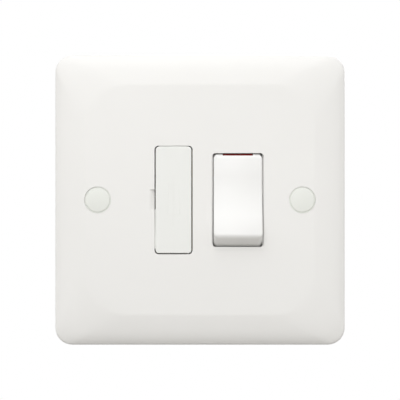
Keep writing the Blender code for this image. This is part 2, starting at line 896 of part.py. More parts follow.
def weigh_rocker_edges(body):
    """Weigh the edges for one bevel: full at the four corners, less round the front face."""
    mesh = body.data
    weights = mesh.attributes.new("bevel_weight_edge", "FLOAT", "EDGE")
    front_edge = rocker_end_radius * math.cos(end_half_angle)
    near = 0.00001

    def on_end(co):
        return abs(math.hypot(co.x, co.y) - rocker_end_radius) < near

    def on_front(co):
        return co.x < near - front_edge or not on_end(co)

    for edge in mesh.edges:
        ends = [mesh.vertices[i].co for i in edge.vertices]
        width = abs(ends[0].z - ends[1].z)
        along_side = width < near and abs(ends[0].z) > rocker_half_width - near
        if along_side and all(on_end(co) for co in ends):
            weights.data[edge.index].value = 1.0
        elif along_side and all(on_front(co) for co in ends):
            weights.data[edge.index].value = rocker_side_edge / rocker_corner
        elif width > rocker_half_width and all(on_end(co) and on_front(co) for co in ends):
            weights.data[edge.index].value = rocker_edge / rocker_corner


def rocker(pivot):
    profile, face_y = rocker_profile()
    body = outline("rocker", profile, 2 * rocker_half_width, seen_from_side)
    merge_flats(body)
    weigh_rocker_edges(body)
    rounding = body.modifiers.new("round_edges", "BEVEL")
    rounding.width = rocker_corner
    rounding.segments = 3
    rounding.limit_method = "WEIGHT"
    inner_half = rocker_half_width - rocker_wall
    cavity_z = rocker_end_radius * math.sin(end_half_angle) - rocker_wall * 0.4
    cut(body, box(
        "rocker_cavity", (-inner_half, inner_half),
        (face_y + rocker_wall, skirt_back + overcut), (-cavity_z, cavity_z),
    ))
    for column, side in columns:
        lug = sorted((side * inner_half, side * (rocker_half_width - face_offset)))
        pin = sorted((side * (inner_half + embed / 2), side * trunnion_reach))
        add(
            body,
            rod(f"trunnion_lug_{column}", lug_radius, (0, 0, 0), "X", *lug),
            rod(f"trunnion_{column}", trunnion_radius, (0, 0, 0), "X", *pin, 24),
        )
    leg = (face_y + rocker_wall / 2, leg_reach)
    bore = (bore_front, leg_reach + overcut)
    for name, x in pole_x.items():
        add(body, rod(f"leg_{name}", leg_radius, (x - rocker_x, 0, 0), "Y", *leg, 24))
    for name, x in pole_x.items():
        cut(body, rod(f"leg_bore_{name}", bore_radius, (x - rocker_x, 0, 0), "Y", *bore, 24))
    pocket_half = flash_width / 2 + braze_gap
    cut(body, flash_shape("flash_pocket", pocket_half, braze_gap, -overcut, flash_depth + braze_gap))
    return make_part(body, rocker_white, pivot)


def flash_shape(name, half_width, end_margin, sink, depth):
    """A band on the upper end face, from sink to depth below it, behind the front edge."""
    front = 180.0 - math.degrees(end_half_angle + (flash_setback - end_margin) / rocker_end_radius)
    back = front - math.degrees((flash_length + 2 * end_margin) / rocker_end_radius)
    band = arc((0, 0), rocker_end_radius - sink, front, back, 6)
    band += arc((0, 0), rocker_end_radius - depth, back, front, 6)
    return outline(name, band, 2 * half_width, seen_from_side)


def build_rocker():
    pivot = bpy.data.objects.new("rocker_pivot", None)
    tool_shapes.objects.link(pivot)
    pivot.location = (rocker_x, pivot_y, 0.0)
    pivot.rotation_euler = (-half_throw, 0.0, 0.0)
    rocker(pivot)
    flash = flash_shape("rocker_on_flash", flash_width / 2, 0.0, flash_sink, flash_depth)
    make_part(flash, flash_red, pivot)
    for name, x in pole_x.items():
        plunger(name, x - rocker_x, pivot)
        plunger_spring(name, x - rocker_x, pivot)


def plunger(name, x, pivot):
    """A pin with a ball end that rides on the contact blade."""
    ball = [(plunger_radius * math.sin(a), plunger_reach + plunger_radius * math.cos(a))
            for a in [math.radians(15 * i) for i in range(7)]]
    profile = ball + [(plunger_radius, spring_back), (0.0, spring_back)]
    pin = turned(f"plunger_{name}", profile, (x, 0.0, 0.0), "Y", 16)
    return make_part(pin, brass, pivot)


def plunger_spring(name, x, pivot):
    coil_radius = bore_radius - spring_clearance - spring_wire / 2
    start = bore_front + seat_gap + spring_wire / 2
    end = spring_back - seat_gap - spring_wire / 2
    count = spring_turns * spring_turn_points
    curve = bpy.data.curves.new(f"plunger_spring_{name}", "CURVE")
    curve.dimensions = "3D"
    curve.bevel_depth = spring_wire / 2
    curve.bevel_resolution = 1
    curve.use_fill_caps = True
    spline = curve.splines.new("POLY")
    spline.points.add(count)
    for i, point in enumerate(spline.points):
        turn = 2 * math.pi * i / spring_turn_points
        y = start + (end - start) * i / count
        point.co = (coil_radius * math.cos(turn), y, coil_radius * math.sin(turn), 1.0)
    drawn = bpy.data.objects.new(f"spring_curve_{name}", curve)
    tool_shapes.objects.link(drawn)
    drawn.location = (x, 0.0, 0.0)
    return make_part(mesh_of(drawn, f"plunger_spring_{name}"), plated_steel, pivot)


# See-saw contacts, modelled level and then tilted to off
def contact_blade(name, x):
    pivot = bpy.data.objects.new(f"blade_pivot_{name}", None)
    tool_shapes.objects.link(pivot)
    pivot.location = (x, blade_y, 0.0)
    pivot.rotation_euler = (half_throw, 0.0, 0.0)
    arm_back = -blade_front + blade_thickness
    end = contact_reach + contact_margin
    tail = -blade_tail
    groove = arc((0, 0), saddle_radius, 90, 270, 10)
    side = [
        (-blade_front, tail), (-blade_front, end), (arm_back, end), (arm_back, saddle_half),
        (0.0, saddle_half), *groove, (0.0, -saddle_half), (arm_back, -saddle_half), (arm_back, tail),
    ]
    blade = outline(f"contact_blade_{name}", side, blade_width, seen_from_side)
    make_part(soften(blade, blade_soft_edge, 1), brass, pivot)
    tip_back = arm_back + braze_gap
    profile = [(0.0, tip_back + tip_height), (tip_radius * 0.6, tip_back + tip_height * 0.86),
               (tip_radius, tip_back + tip_height * 0.55), (tip_radius, tip_back), (0.0, tip_back)]
    tip = turned(f"moving_tip_{name}", profile, (0.0, 0.0, contact_reach), "Y", 20)
    return make_part(tip, silver, pivot)


def fulcrum(name, x):
    """The post that carries the blade, with its strip to the supply terminal."""
    top = arc((blade_y, 0), post_radius, 90, 270, 10)
    post = [*top, (strip_y, -post_radius), (strip_y, post_radius)]
    path = [(strip_y, post_foot), (strip_y, -tab_z), (block_front_y + tab_front, -tab_z)]
    post_width = pole_strip_width - 2 * strip_step
    body = outline(f"fulcrum_{name}", ribbon(path, strip), pole_strip_width, seen_from_side, (x, 0, 0))
    add(body, outline(f"fulcrum_post_{name}", post, post_width, seen_from_side, (x, 0, 0)))
    return make_part(body, brass)


def fixed_tip(name, x):
    profile = [(0.0, fixed_tip_y + tip_height), (tip_radius, fixed_tip_y + tip_height),
               (tip_radius, fixed_tip_y), (0.0, fixed_tip_y)]
    return make_part(turned(f"fixed_tip_{name}", profile, (x, 0.0, contact_reach), "Y", 20), silver)


def neutral_fixed_contact():
    path = [(pad_y, contact_reach - pad_margin), (pad_y, tab_z), (block_back_y, tab_z)]
    place = (pole_x["neutral"], 0, 0)
    contact = outline("neutral_fixed_contact", ribbon(path, strip), pole_strip_width, seen_from_side, place)
    return make_part(contact, brass)


# Fuse contacts: a sprung clip at each end of the fuse
def fuse_clip_path():
    half = fuse_cap_radius + jaw_gap + strip / 2
    lip_y = fuse_y - jaw_reach
    left = carrier_x - half
    right = carrier_x + half
    return [
        (left - jaw_flare, lip_y - jaw_lead), (left, lip_y), (left, clip_base_y),
        (right, clip_base_y), (right, lip_y), (right + jaw_flare, lip_y - jaw_lead),
    ]


def fuse_contact(name, level, tail):
    place = (0.0, 0.0, level * clip_z)
    tail_width = clip_width - 2 * strip_step
    clip = outline(name, ribbon(fuse_clip_path(), strip), clip_width, seen_from_top, place)
    add(clip, outline(name + "_tail", ribbon(tail, strip), tail_width, seen_from_top, place))
    return make_part(clip, brass)


def build_fuse_contacts():
    riser_x = rocker_x - rocker_half_width - cheek_gap - cheek_wall - seat_gap - strip
    pad_end = pole_x["line"] + pole_strip_width / 2
    fuse_contact("upper_fuse_contact", 1, [
        (carrier_x, clip_base_y), (riser_x, clip_base_y), (riser_x, pad_y), (pad_end, pad_y),
    ])
    link_x = terminal_x[3]
    foot_y = strip_y - strip - seat_gap
    fuse_contact("lower_fuse_contact", -1, [
        (carrier_x, clip_base_y), (link_x + link_riser, clip_base_y), (link_x + link_riser, foot_y),
        (link_x - link_foot, foot_y),
    ])
    start = -clip_z - strip_width / 2
    path = [(strip_y, start), (strip_y, tab_z), (block_front_y + tab_front, tab_z)]
    link = outline("load_line_link", ribbon(path, strip), strip_width, seen_from_side, (link_x, 0, 0))
    make_part(link, brass)


def earth_link():
    tab = block_front_y + tab_front
    path = [(tab, -tab_z), (strip_y, -tab_z), (strip_y, tab_z), (tab, tab_z)]
    link = outline("earth_link", ribbon(path, strip), strip_width, seen_from_side, (terminal_x[2], 0, 0))
    return make_part(link, brass)


# Fuse and its carrier
def fuse():
    grip = fuse_half - fuse_cap_length
    tube_end = fuse_half - fuse_cap_wall - braze_gap
    tube = turned(
        "fuse_tube", [(0.0, tube_end), (tube_radius, tube_end), (tube_radius, -tube_end), (0.0, -tube_end)],
        (carrier_x, fuse_y, 0.0), "Z",
    )
    make_part(tube, ceramic)
    inside = fuse_half - fuse_cap_wall
    for row, level in rows:
        profile = [
            (0.0, fuse_half), (fuse_cap_radius - fuse_cap_edge, fuse_half),
            (fuse_cap_radius, fuse_half - fuse_cap_edge), (fuse_cap_radius, grip),
            (fuse_cap_radius - fuse_cap_wall, grip), (fuse_cap_radius - fuse_cap_wall, inside), (0.0, inside),
        ]
        cap = turned(f"fuse_cap_{row}", profile, (carrier_x, fuse_y, 0.0), "Z")
        if level < 0:
            cap.rotation_euler = (math.pi, 0.0, 0.0)
        make_part(cap, nickel)


def fuse_carrier():
    """A flush front with a gripping cradle and a stop past each end of the fuse."""
    back_y = front_y + carrier_front
    carrier = outline(
        "fuse_carrier",
        rounded_rectangle(carrier_half_width, carrier_half_height, carrier_corner - carrier_gap),
        carrier_front, seen_from_front, (carrier_x, front_y + carrier_front / 2, 0.0),
    )
    soften(carrier, carrier_soft_edge, 2)
    inner = tube_radius + sliding_gap
    outer = inner + cradle_wall
    half_length = clip_z - clip_width / 2 - cradle_end_gap
    cradle = arc((carrier_x, fuse_y), outer, -230, 50, 16) + arc((carrier_x, fuse_y), inner, 50, -230, 16)
    add(carrier, outline("cradle", cradle, 2 * half_length, seen_from_top))
    web_x = (carrier_x - outer * 0.7, carrier_x + outer * 0.7)
    web_y = (back_y - embed / 2, fuse_y - outer * 0.8)
    stop_x = (carrier_x - stop_half_width, carrier_x + stop_half_width)
    stop_y = (back_y - embed / 2, fuse_y + stop_depth)
    stop_z = fuse_half + seat_gap
    for row, level in rows:
        web = sorted((level * half_length, level * (half_length - cradle_web)))
        stop = sorted((level * stop_z, level * (stop_z + stop_wall)))
        add(
            carrier,
            box(f"cradle_web_{row}", web_x, web_y, web),
            box(f"end_stop_{row}", stop_x, stop_y, stop),
        )
    bore_end = half_length + overcut
    cut(carrier, rod("cradle_bore", inner, (carrier_x, fuse_y, 0), "Z", -bore_end, bore_end))
    return make_part(carrier, white_moulding)


# Terminals and screws
def terminal_blocks():
    for name, x, level in terminals():
        ends = sorted((level * block_inner_z, level * (block_inner_z + block_size[2])))
        block = box(
            f"terminal_{name}", (x - block_size[0] / 2, x + block_size[0] / 2),
            (block_front_y, block_back_y), ends,
        )
        soften(block, block_soft_edge, 1)
        port = (port_size[0] / 2, port_size[1] / 2)
        way = sorted((level * (block_inner_z + port_end), level * (block_inner_z + block_size[2] + overcut)))
        screw_z = level * (block_inner_z + block_size[2] / 2)
        cut(
            block,
            box(f"port_{name}", (x - port[0], x + port[0]), (port_y - port[1], port_y + port[1]), way),
            rod(
                f"thread_{name}", terminal_screw_radius + thread_gap, (x, 0, screw_z), "Y",
                port_y, block_back_y + overcut, 24,
            ),
        )
        make_part(block, brass)
        terminal_screw(name, x, screw_z)


def terminal_screw(name, x, z):
    """Backed out until its tip clears the port, slotted at the back."""
    tip = port_y + port_size[1] / 2 + seat_gap
    head = block_back_y + terminal_screw_stand
    radius = terminal_screw_radius
    profile = [
        (0.0, head), (radius - screw_chamfer, head), (radius, head - screw_chamfer),
        (radius, tip + screw_chamfer), (radius - screw_chamfer, tip), (0.0, tip),
    ]
    screw = turned(f"terminal_screw_{name}", profile, (x, 0.0, z), "Y", 16)
    cut(screw, box(
        f"slot_{name}", (x - terminal_slot_half, x + terminal_slot_half),
        (head - terminal_slot_depth, head + overcut), (z - radius - overcut, z + radius + overcut),
    ))
    return make_part(screw, plated_steel)


def fixing_screw(name, side):
    seat = seat_y - seat_gap
    top = seat - fixing_head_height
    tip = seat + fixing_length
    shank = fixing_shank_radius
    radius = fixing_head_radius
    profile = [
        (0.0, tip), (shank - screw_chamfer, tip), (shank, tip - screw_chamfer), (shank, seat), (radius, seat),
        (radius, top + fixing_head_slope[1]), (radius - fixing_head_slope[0], top), (0.0, top),
    ]
    x = side * fixing_x
    screw = turned(f"fixing_screw_{name}", profile, (x, 0.0, 0.0), "Y", 20)
    cut(screw, box(
        f"fixing_slot_{name}", (x - fixing_slot_half, x + fixing_slot_half),
        (top - overcut, top + fixing_slot_depth), (-radius - overcut, radius + overcut),
    ))
    return make_part(screw, plated_steel)


def screw_cap(name, side):
    radius = recess_radius - cap_gap
    under = front_y + cap_thickness
    skirt_end = under + cap_skirt
    dome = [(0.0, front_y - cap_dome), (radius * 0.6, front_y - cap_dome * 0.6), (radius - cap_edge, front_y)]
    profile = [
        (0.0, under), (radius - cap_wall, under), (radius - cap_wall, skirt_end), (radius, skirt_end),
        (radius, front_y + cap_edge), *dome[::-1],
    ]
    place = (side * fixing_x, 0.0, 0.0)
    return make_part(turned(f"screw_cap_{name}", profile, place, "Y", 32), cap_white)


def housing_screws():
    seat = ear_front + ear_thickness + seat_gap
    tip = seat - housing_screw_length
    radius = housing_screw_radius
    head = housing_head_radius
    profile = [
        (0.0, seat + housing_head_height), (head * 0.6, seat + housing_head_height),
        (head, seat + housing_head_height * 0.45), (head, seat), (radius, seat),
        (radius, tip + housing_screw_point), (0.0, tip),
    ]
    for row, level in rows:
        for column, side in columns:
            place = (side * post_x, 0.0, level * ear_height)
            screw = turned(f"housing_screw_{row}_{column}", profile, place, "Y", 16)
            cut_cross(screw, f"{row}_{column}", place, seat + housing_head_height)
            make_part(screw, plated_steel)


def cut_cross(screw, name, place, head_y):
    depth = (head_y - cross_depth, head_y + overcut)
    for way, half in (("across", (cross_reach, cross_half)), ("upright", (cross_half, cross_reach))):
        ends = [(middle - size, middle + size) for middle, size in zip((place[0], place[2]), half)]
        cut(screw, box(f"cross_{way}_{name}", ends[0], depth, ends[1]))


def build():
    faceplate()
    rear_housing()
    build_rocker()
    for name, x in pole_x.items():
        contact_blade(name, x)
        fulcrum(name, x)
        fixed_tip(name, x)
    neutral_fixed_contact()
    build_fuse_contacts()
    earth_link()
    fuse_carrier()
    fuse()
    terminal_blocks()
    for name, side in columns:
        fixing_screw(name, side)
        screw_cap(name, side)
    housing_screws()


build()
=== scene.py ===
import json
import math

import bmesh
import bpy
from mathutils import Matrix, Vector


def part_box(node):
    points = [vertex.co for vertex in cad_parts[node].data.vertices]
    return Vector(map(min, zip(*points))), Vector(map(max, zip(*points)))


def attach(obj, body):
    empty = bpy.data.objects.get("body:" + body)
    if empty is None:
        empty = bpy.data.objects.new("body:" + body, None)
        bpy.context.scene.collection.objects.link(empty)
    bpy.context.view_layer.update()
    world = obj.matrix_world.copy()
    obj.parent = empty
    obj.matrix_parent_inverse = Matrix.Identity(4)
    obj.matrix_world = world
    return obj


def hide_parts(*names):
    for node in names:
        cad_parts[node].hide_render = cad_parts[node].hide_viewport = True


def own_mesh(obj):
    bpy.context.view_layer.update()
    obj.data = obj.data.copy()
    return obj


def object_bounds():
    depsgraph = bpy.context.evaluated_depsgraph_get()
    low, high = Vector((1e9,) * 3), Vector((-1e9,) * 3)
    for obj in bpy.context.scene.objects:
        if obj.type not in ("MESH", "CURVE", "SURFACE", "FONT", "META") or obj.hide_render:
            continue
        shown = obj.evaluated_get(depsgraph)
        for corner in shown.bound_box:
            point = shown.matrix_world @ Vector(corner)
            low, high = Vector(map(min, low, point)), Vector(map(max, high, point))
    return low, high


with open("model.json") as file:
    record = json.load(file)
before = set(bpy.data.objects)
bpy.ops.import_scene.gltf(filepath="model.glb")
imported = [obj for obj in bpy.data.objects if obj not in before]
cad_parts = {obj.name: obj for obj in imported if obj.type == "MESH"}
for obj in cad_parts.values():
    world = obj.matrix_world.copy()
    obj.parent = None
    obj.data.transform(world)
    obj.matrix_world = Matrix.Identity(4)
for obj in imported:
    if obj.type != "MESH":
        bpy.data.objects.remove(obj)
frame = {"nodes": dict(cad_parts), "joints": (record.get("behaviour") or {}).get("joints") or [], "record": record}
cadLow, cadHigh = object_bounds()
nodes = frame["nodes"]
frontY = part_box("faceplate")[0].y       # the plate's front
print("frame loaded:", len(nodes), "nodes")

# Camera and white surroundings; all lengths in this script are metres

cameraSet = {
    "distance": 0.330,      # from the plate's front
    "frameWidth": 0.1192,   # what the picture spans at the plate's outer edge
    "edgeDepth": 0.0051,    # how far that edge stands off the wall
    "sensor": 36.0,         # millimetres, as the lens
    "nearest": 0.01,
}


def makeCamera():
    lens = bpy.data.cameras.new("photoCamera")
    place = frontY - cameraSet["distance"]
    reach = -cameraSet["edgeDepth"] - place
    lens.sensor_width = cameraSet["sensor"]
    lens.lens = cameraSet["sensor"] * reach / cameraSet["frameWidth"]
    lens.clip_start = cameraSet["nearest"]
    camera = bpy.data.objects.new("photoCamera", lens)
    camera.location = (0.0, place, 0.0)
    camera.rotation_euler = (math.radians(90), 0.0, 0.0)
    bpy.context.scene.collection.objects.link(camera)
    bpy.context.scene.camera = camera


lampSet = {
    "front": {"place": (-0.12, -1.19, 0.05), "size": 0.60, "power": 4.3,
              "lights": True, "mirrored": False},
    "upper": {"place": (-0.16, -0.89, 0.70), "size": 0.80, "power": 3.0,
              "lights": True, "mirrored": False},
    "overhead": {"place": (-0.16, -0.56, 1.00), "size": 0.50, "power": 1.4,
                 "lights": True, "mirrored": False},
    "sheen": {"place": (-0.39, -0.83, 0.77), "size": 1.80, "power": 3.0,
              "lights": False, "mirrored": True},
    "behind": {"place": (0.35, 1.00, 0.55), "size": 0.90, "power": 7.0,
               "lights": True, "mirrored": True},
}


def makeLamps():
    for name, lamp in lampSet.items():
        light = bpy.data.lights.new(name + "Lamp", "AREA")
        light.shape = "DISK"
        light.size = lamp["size"]
        light.energy = lamp["power"]
        holder = bpy.data.objects.new(name + "Lamp", light)
        holder.location = lamp["place"]
        holder.visible_diffuse = lamp["lights"]
        holder.visible_glossy = lamp["mirrored"]
        holder.rotation_mode = "QUATERNION"
        holder.rotation_quaternion = (-Vector(lamp["place"])).to_track_quat("-Z", "Y")
        bpy.context.scene.collection.objects.link(holder)


roomSet = {
    "glow": 0.78,
    "white": (1.0, 1.0, 1.0, 1.0),
    "floorDrop": 0.0016,    # below the plate's lower edge
    "floorSize": 3.0,
    "floorColor": (0.30, 0.285, 0.26, 1.0),
    "floorRough": 0.9,
}


def seenWhite(tree, shade, white):
    # white where the camera, a glossy finish or glass looks at it, shaded for everything else
    ray = tree.nodes.new("ShaderNodeLightPath")
    seen = ray.outputs["Is Camera Ray"]
    for kind in ("Is Glossy Ray", "Is Transmission Ray"):
        either = tree.nodes.new("ShaderNodeMath")
        either.operation = "MAXIMUM"
        tree.links.new(seen, either.inputs[0])
        tree.links.new(ray.outputs[kind], either.inputs[1])
        seen = either.outputs[0]
    mix = tree.nodes.new("ShaderNodeMixShader")
    tree.links.new(seen, mix.inputs[0])
    tree.links.new(shade.outputs[0], mix.inputs[1])
    tree.links.new(white.outputs[0], mix.inputs[2])
    return mix.outputs[0]


def makeWorld():
    world = bpy.data.worlds.new("whiteRoom")
    bpy.context.scene.world = world
    world.use_nodes = True
    tree = world.node_tree
    glow = tree.nodes["Background"]
    glow.inputs["Color"].default_value = roomSet["white"]
    glow.inputs["Strength"].default_value = roomSet["glow"]
    white = tree.nodes.new("ShaderNodeBackground")
    white.inputs["Color"].default_value = roomSet["white"]
    white.inputs["Strength"].default_value = 1.0
    tree.links.new(seenWhite(tree, glow, white), tree.nodes["World Output"].inputs["Surface"])


def makeFloor():
    bpy.ops.mesh.primitive_plane_add(
        size=roomSet["floorSize"], location=(0.0, 0.0, cadLow.z - roomSet["floorDrop"])
    )
    floor = bpy.context.object
    floor.name = "paleFloor"
    paper = bpy.data.materials.new("paleFloor")
    paper.use_nodes = True
    tree = paper.node_tree
    shader = tree.nodes["Principled BSDF"]
    shader.inputs["Base Color"].default_value = roomSet["floorColor"]
    shader.inputs["Roughness"].default_value = roomSet["floorRough"]
    white = tree.nodes.new("ShaderNodeEmission")
    white.inputs["Strength"].default_value = 1.0
    tree.links.new(seenWhite(tree, shader, white), tree.nodes["Material Output"].inputs["Surface"])
    floor.data.materials.append(paper)


makeCamera()
makeLamps()
makeWorld()
makeFloor()
bpy.context.scene.view_settings.view_transform = "Standard"
print("camera, lamps and room ready")

# Finishes: two colours that drift into each other, a range of roughness and how far the skin shows

plasticSet = {
    "plateWhite": {"pale": (0.834, 0.829, 0.812), "deep": (0.826, 0.821, 0.804),
                   "rough": (0.26, 0.34), "skin": 0.012},
    "carrierWhite": {"pale": (0.822, 0.830, 0.806), "deep": (0.814, 0.822, 0.798),
                     "rough": (0.27, 0.35), "skin": 0.012},
    "rockerWhite": {"pale": (0.862, 0.862, 0.852), "deep": (0.854, 0.854, 0.844),
                    "rough": (0.20, 0.27), "skin": 0.010},
    "capWhite": {"pale": (0.790, 0.806, 0.765), "deep": (0.782, 0.798, 0.757),
                 "rough": (0.32, 0.42), "skin": 0.016},
    # the flash's own red, darkened in part as painted shade of the gap it sits in
    "flashRedAndShade": {"pale": (0.31, 0.020, 0.015), "deep": (0.25, 0.016, 0.012),
                 "rough": (0.30, 0.38), "skin": 0.010},
    "housingWhite": {"pale": (0.770, 0.768, 0.742), "deep": (0.735, 0.733, 0.707),
                     "rough": (0.46, 0.58), "skin": 0.060},
    "fuseCeramic": {"pale": (0.800, 0.780, 0.720), "deep": (0.740, 0.715, 0.650),
                    "rough": (0.55, 0.72), "skin": 0.080},
}
mouldSet = {
    "ior": 1.50, "gloss": 0.12, "glossRough": 0.12,
    "cloud": (45.0, 3.0),               # scale and detail of each pattern
    "flow": (14.0, 5.0),
    "skin": (2600.0, 2.0),
    "cloudSpan": (0.35, 0.65),          # where the clouds turn from deep to pale
    "flowStretch": (1.0, 1.0, 6.0),
    "skinDepth": 0.0002,
    "sink": 0.25, "sinkDepth": 0.00006,
}


def noise(tree, place, scale, detail, stretch=None):
    source = place.outputs["Object"]
    if stretch:
        mapping = tree.nodes.new("ShaderNodeMapping")
        mapping.inputs["Scale"].default_value = stretch
        tree.links.new(source, mapping.inputs["Vector"])
        source = mapping.outputs[0]
    pattern = tree.nodes.new("ShaderNodeTexNoise")
    pattern.inputs["Scale"].default_value = scale
    pattern.inputs["Detail"].default_value = detail
    tree.links.new(source, pattern.inputs["Vector"])
    return pattern.outputs[0]


def drift(tree, value, span, look):
    # from the deep colour to the pale one over the span
    tint = tree.nodes.new("ShaderNodeValToRGB")
    colors = (look["deep"], look["pale"])
    for element, position, color in zip(tint.color_ramp.elements, span, colors):
        element.position = position
        element.color = (*color, 1.0)
    tree.links.new(value, tint.inputs[0])
    return tint.outputs[0]


def between(tree, value, low, high, start=0.0, full=1.0):
    spread = tree.nodes.new("ShaderNodeMapRange")
    for name, level in (("From Min", start), ("From Max", full), ("To Min", low), ("To Max", high)):
        spread.inputs[name].default_value = level
    tree.links.new(value, spread.inputs["Value"])
    return spread.outputs[0]


def bump(tree, height, strength, distance, under=None):
    relief = tree.nodes.new("ShaderNodeBump")
    relief.inputs["Strength"].default_value = strength
    relief.inputs["Distance"].default_value = distance
    tree.links.new(height, relief.inputs["Height"])
    if under:
        tree.links.new(under, relief.inputs["Normal"])
    return relief.outputs[0]


def newFinish(name):
    material = bpy.data.materials.new(name)
    material.use_nodes = True
    tree = material.node_tree
    return material, tree, tree.nodes["Principled BSDF"], tree.nodes.new("ShaderNodeTexCoord")


def plastic(name):
    # moulded: faint clouds in the colour, flow lines in the gloss, a fine skin and slow sinks
    look = plasticSet[name]
    material, tree, shader, place = newFinish(name)
    shader.inputs["IOR"].default_value = mouldSet["ior"]
    shader.inputs["Coat Weight"].default_value = mouldSet["gloss"]
    shader.inputs["Coat Roughness"].default_value = mouldSet["glossRough"]
    cloud = noise(tree, place, *mouldSet["cloud"])
    flow = noise(tree, place, *mouldSet["flow"], mouldSet["flowStretch"])
    skin = noise(tree, place, *mouldSet["skin"])
    sinks = bump(tree, cloud, mouldSet["sink"], mouldSet["sinkDepth"])
    relief = bump(tree, skin, look["skin"], mouldSet["skinDepth"], sinks)
    color = drift(tree, cloud, mouldSet["cloudSpan"], look)
    tree.links.new(color, shader.inputs["Base Color"])
    tree.links.new(between(tree, flow, *look["rough"]), shader.inputs["Roughness"])
    tree.links.new(relief, shader.inputs["Normal"])
    return material


metalSet = {
    "stampedBrass": {"worn": (0.88, 0.68, 0.36), "pale": (0.80, 0.58, 0.26),
                     "deep": (0.62, 0.41, 0.16), "rough": (0.24, 0.44),
                     "grain": (300, 300, 2600), "scuff": 0.10},
    "zincSteel": {"worn": (0.66, 0.66, 0.65), "pale": (0.52, 0.53, 0.54),
                  "deep": (0.40, 0.39, 0.36), "rough": (0.28, 0.46),
                  "grain": (900, 900, 900), "scuff": 0.08},
    "nickelPlate": {"worn": (0.82, 0.80, 0.76), "pale": (0.72, 0.69, 0.64),
                    "deep": (0.62, 0.59, 0.54), "rough": (0.16, 0.30),
                    "grain": (1800, 1800, 160), "scuff": 0.05},
    "contactSilver": {"worn": (0.93, 0.92, 0.90), "pale": (0.88, 0.87, 0.85),
                      "deep": (0.70, 0.68, 0.64), "rough": (0.22, 0.38),
                      "grain": (900, 900, 900), "scuff": 0.08},
}
wearSet = {
    "grain": (1.0, 4.0),                # scale and detail, stretched by each metal's own grain
    "grainDepth": 0.0001,
    "blotch": (160.0, 3.0),
    "blotchSpan": (0.34, 0.62),
    "edge": 0.00018, "edgeSamples": 4,  # how far from an edge it is rubbed bright
    "bright": 0.80, "dull": 0.985,      # how far the rounded face turns from the flat one
}


def rubbedEdges(tree, rounded):
    flat = tree.nodes.new("ShaderNodeNewGeometry")
    facing = tree.nodes.new("ShaderNodeVectorMath")
    facing.operation = "DOT_PRODUCT"
    tree.links.new(rounded, facing.inputs[0])
    tree.links.new(flat.outputs["Normal"], facing.inputs[1])
    return between(tree, facing.outputs["Value"], 1.0, 0.0, wearSet["bright"], wearSet["dull"])


def metal(name):
    # grain along the stamping or turning, tarnish in blotches, brighter where edges are rubbed
    look = metalSet[name]
    material, tree, shader, place = newFinish(name)
    shader.inputs["Metallic"].default_value = 1.0
    grain = noise(tree, place, *wearSet["grain"], look["grain"])
    blotch = noise(tree, place, *wearSet["blotch"])
    edge = tree.nodes.new("ShaderNodeBevel")
    edge.samples = wearSet["edgeSamples"]
    edge.inputs["Radius"].default_value = wearSet["edge"]
    rounded = edge.outputs[0]
    blend = tree.nodes.new("ShaderNodeMix")
    blend.data_type = "RGBA"            # its sockets 6 and 7 take the colours, 2 gives the blend
    blend.inputs[7].default_value = (*look["worn"], 1.0)
    tree.links.new(rubbedEdges(tree, rounded), blend.inputs[0])
    tree.links.new(drift(tree, blotch, wearSet["blotchSpan"], look), blend.inputs[6])
    tree.links.new(blend.outputs[2], shader.inputs["Base Color"])
    tree.links.new(between(tree, grain, *look["rough"]), shader.inputs["Roughness"])
    relief = bump(tree, grain, look["scuff"], wearSet["grainDepth"], rounded)
    tree.links.new(relief, shader.inputs["Normal"])
    return material


finish = {name: plastic(name) for name in plasticSet}
finish.update({name: metal(name) for name in metalSet})

finishOfSlot = {
    "faceplate_moulding": "plateWhite",
    "carrier_moulding": "carrierWhite",
    "rocker_moulding": "rockerWhite",
    "cap_moulding": "capWhite",
    "red_flash": "flashRedAndShade",
    "housing_moulding": "housingWhite",
    "brass": "stampedBrass",
    "plated_steel": "zincSteel",
    "nickel_plate": "nickelPlate",
    "ceramic": "fuseCeramic",
    "silver": "contactSilver",
}

# The imported pieces: plate, housing and carrier get a fine round edge, the others keep their edges

edgeSet = {
    "widths": {"faceplate": 0.00012, "rear_housing": 0.00012, "fuse_carrier": 0.00006},
    "steps": 2,
    "sharp": 40,            # degrees, edges sharper than this are rounded
    "flat": 0.5,            # degrees, faces flatter than this are merged first
    "faceWeight": 90,
    "weld": 0.000001,
    "crease": 28,           # degrees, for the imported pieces
    "newCrease": 35,        # degrees, for the pieces made here
}


def roundEdges(node, width):
    merge = node.modifiers.new("merge_flats", "DECIMATE")
    merge.decimate_type = "DISSOLVE"
    merge.angle_limit = math.radians(edgeSet["flat"])
    edge = node.modifiers.new("fine_edge", "BEVEL")
    edge.width = width
    edge.segments = edgeSet["steps"]
    edge.limit_method = "ANGLE"
    edge.angle_limit = math.radians(edgeSet["sharp"])
    even = node.modifiers.new("even_normals", "WEIGHTED_NORMAL")
    even.keep_sharp = True
    even.weight = edgeSet["faceWeight"]


def creaseEdges(piece, degrees):
    crease = piece.modifiers.new("crease", "EDGE_SPLIT")
    crease.split_angle = math.radians(degrees)


def dressNodes():
    for part in frame["record"]["subparts"]:
        name = part["node"]
        node = nodes[name]
        node.data.materials.clear()
        node.data.materials.append(finish[finishOfSlot[part["material_slot"]]])
        weld = node.modifiers.new("weld", "WELD")
        weld.merge_threshold = edgeSet["weld"]
        node.data.shade_smooth()
        if name in edgeSet["widths"]:
            roundEdges(node, edgeSet["widths"][name])
        else:
            creaseEdges(node, edgeSet["crease"])


dressNodes()
print("finishes on")

# How a new piece is made


